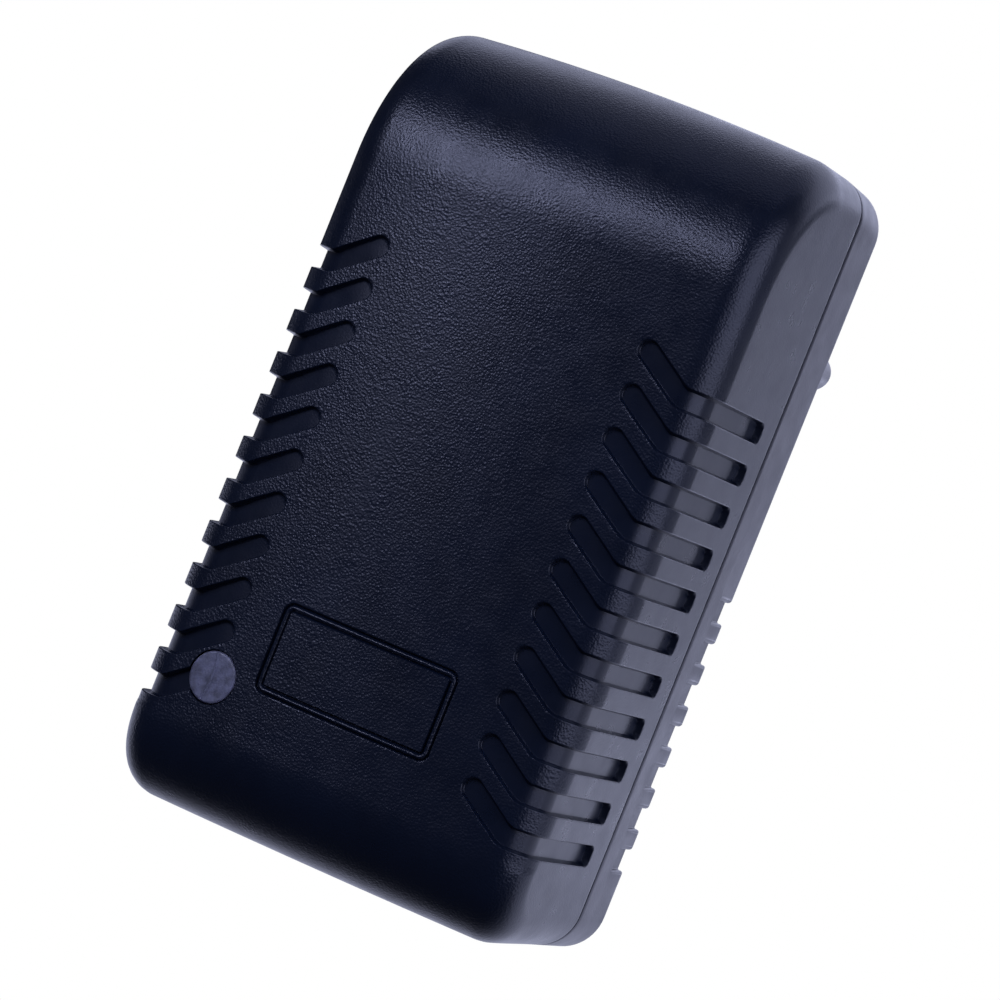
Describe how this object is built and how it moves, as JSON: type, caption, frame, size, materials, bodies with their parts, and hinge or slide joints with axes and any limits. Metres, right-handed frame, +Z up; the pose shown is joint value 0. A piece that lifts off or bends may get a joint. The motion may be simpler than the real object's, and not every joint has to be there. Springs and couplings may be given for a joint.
{
  "type": "poe injector",
  "caption": "Wall-plug power-over-Ethernet injector: portrait ribbed plastic case with a round-pin plug behind, modular jacks at the bottom end and a front indicator.",
  "frame": {"origin": "midway between the two plug pins, on the end face of the plug boss that meets the socket outlet", "axes": "+Y along the pins into the wall, -Y the front face towards the room, +Z up along the case's long side, +X to the right as seen from the front"},
  "size_m": [0.0434, 0.0665, 0.0799],
  "materials": {
    "case_front": "fine spark-eroded grain, satin",
    "case_rear": "fine grain, satin",
    "screw_steel": "zinc plated",
    "label_film": "blank silver film",
    "insulating_film": "thin fish-paper sheet",
    "pin_metal": "nickel plated brass, polished",
    "sleeve_plastic": "satin",
    "wire_brown": "insulated wire",
    "wire_blue": "insulated wire",
    "lens_diffuser": "frosted translucent",
    "led_clear": "clear epoxy",
    "lead_tin": "tinned wire",
    "board_green": "solder mask",
    "jack_black": "moulded",
    "contact_gold": "gold flashed",
    "part_green": "dipped coating",
    "part_blue": "epoxy coating",
    "part_yellow": "moulded box",
    "ferrite": "sintered ferrite",
    "copper_wire": "enamelled copper",
    "chip_black": "moulded epoxy",
    "can_sleeve": "shrink sleeve over aluminium",
    "resistor_body": "lacquered",
    "bobbin_plastic": "moulded phenolic",
    "winding_tape": "polyester tape"
  },
  "bodies": {
    "root": {"front_shell": "case_front", "rear_cover": "case_rear", "cover_screws": "screw_steel", "rating_label": "label_film", "insulation_sheet": "insulating_film", "live_pin": "pin_metal", "neutral_pin": "pin_metal", "live_sleeve": "sleeve_plastic", "neutral_sleeve": "sleeve_plastic", "live_wire": "wire_brown", "neutral_wire": "wire_blue", "led_lens": "lens_diffuser", "led": "led_clear", "led_leads": "lead_tin", "main_board": "board_green", "lan_jack": "jack_black", "poe_jack": "jack_black", "lan_contacts": "contact_gold", "poe_contacts": "contact_gold", "fuse": "part_green", "varistor": "part_blue", "inrush_resistor": "part_green", "x_capacitor": "part_yellow", "choke_core": "ferrite", "choke_windings": "copper_wire", "bridge_rectifier": "chip_black", "bulk_capacitor_1": "can_sleeve", "bulk_capacitor_2": "can_sleeve", "filter_core": "ferrite", "filter_winding": "copper_wire", "controller_ic": "chip_black", "snubber_diode": "chip_black", "snubber_resistor": "resistor_body", "snubber_capacitor": "part_blue", "transformer_core": "ferrite", "transformer_bobbin": "bobbin_plastic", "transformer_winding": "winding_tape", "y_capacitor": "part_blue", "optocoupler": "chip_black", "voltage_reference": "chip_black", "output_diode": "chip_black", "output_capacitor_1": "can_sleeve", "output_capacitor_2": "can_sleeve", "output_choke": "ferrite", "output_resistors": "resistor_body"}
  },
  "joints": []
}
